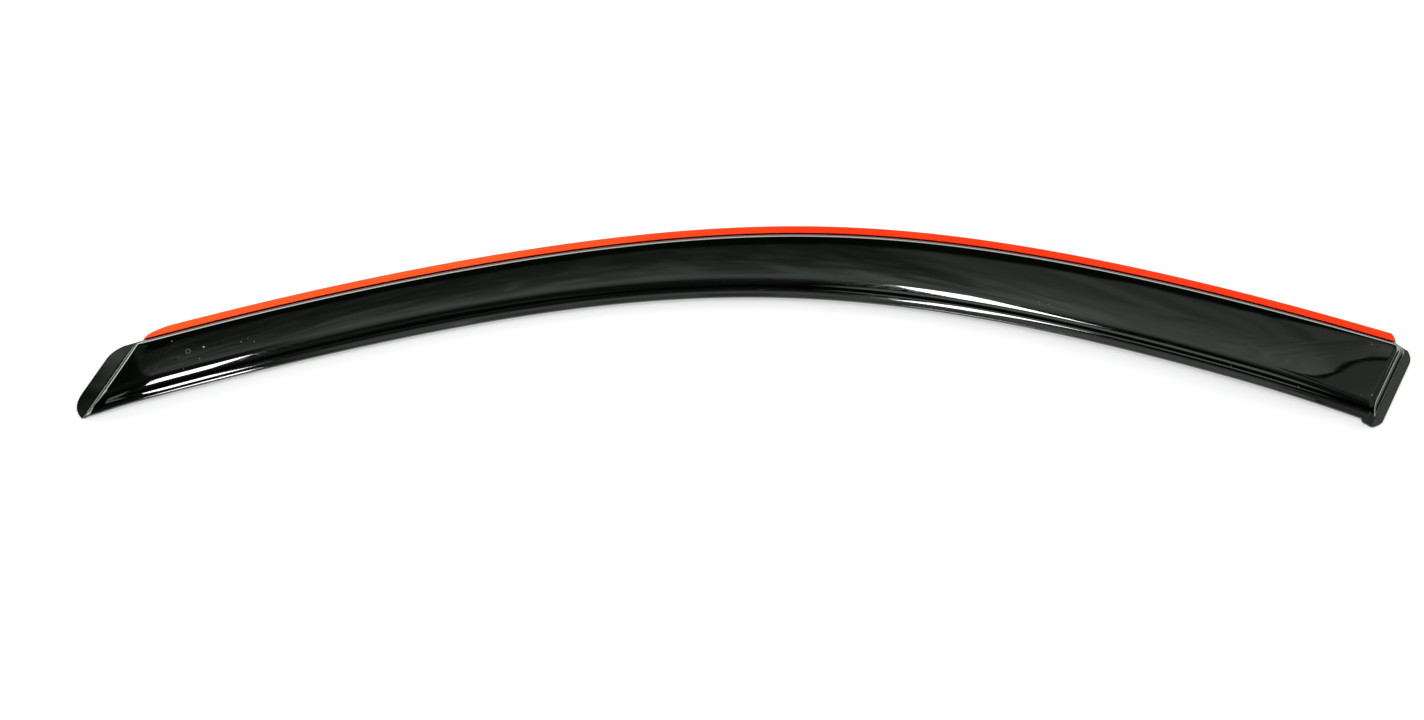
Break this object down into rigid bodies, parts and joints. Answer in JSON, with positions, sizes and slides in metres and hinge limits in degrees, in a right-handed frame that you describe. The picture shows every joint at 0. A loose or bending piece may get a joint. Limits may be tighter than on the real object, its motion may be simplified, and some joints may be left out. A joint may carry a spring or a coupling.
{
  "type": "window rain deflector",
  "caption": "Long curved dark acrylic strip that fits in a car door's window channel and sheds rain while the window is a little open.",
  "frame": {"origin": "centre of the bounding box in plan, on the glass plane that the flange and the two end tabs lie on", "axes": "+X along the strip towards its wide rear end, +Y across it towards the flange and its tape, +Z out of the outer face"},
  "size_m": [0.9612, 0.1626, 0.0135],
  "materials": {
    "smoke_acrylic": "polished dark smoke acrylic, nearly opaque, with a slight green tint",
    "foam": "dark closed-cell foam tape, matt",
    "liner": "orange-red release film with a soft sheen"
  },
  "bodies": {
    "root": {"visor_shell": "smoke_acrylic", "foam_tape": "foam", "release_liner": "liner"}
  },
  "joints": []
}
